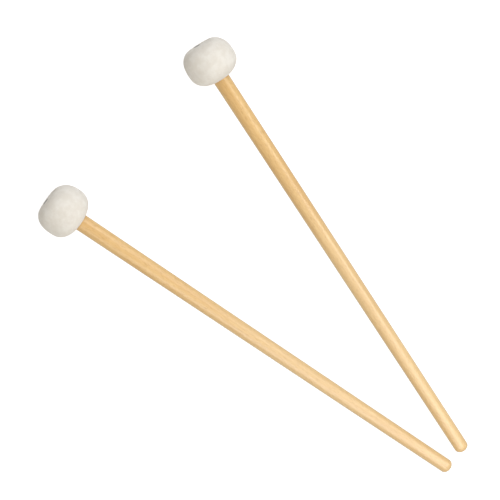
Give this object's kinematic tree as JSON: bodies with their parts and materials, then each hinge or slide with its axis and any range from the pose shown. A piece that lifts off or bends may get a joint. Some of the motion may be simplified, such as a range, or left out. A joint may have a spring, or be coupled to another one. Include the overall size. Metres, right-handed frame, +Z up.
{
  "type": "pair of timpani mallets",
  "caption": "Pair of timpani mallets: turned, tapered wooden handles with round felt-covered heads, laid side by side in a narrow V.",
  "frame": {"origin": "on the table, under the middle of the pair's bounding box", "axes": "+Z up; +Y along the middle of the V, from the butt ends to the heads; +X towards the right mallet"},
  "size_m": [0.1958, 0.3668, 0.0392],
  "materials": {
    "handle_wood": "satin",
    "core_wood": "matte",
    "cover_felt": "matte",
    "under_felt": "matte",
    "thread": "matte",
    "dot": "matte"
  },
  "bodies": {
    "right_mallet": {"right_handle": "handle_wood", "right_core": "core_wood", "right_under_felt": "under_felt", "right_cover": "cover_felt", "right_drawstring": "thread", "right_crown_cap": "cover_felt", "right_crown_dot": "dot"},
    "left_mallet": {"left_handle": "handle_wood", "left_core": "core_wood", "left_under_felt": "under_felt", "left_cover": "cover_felt", "left_drawstring": "thread", "left_crown_cap": "cover_felt", "left_crown_dot": "dot"}
  },
  "joints": [
    {"name": "left_mallet_lift", "type": "slide", "parent": "right_mallet", "child": "left_mallet", "axis": [0, 0, 1], "range_m": [0, 0.12]}
  ]
}
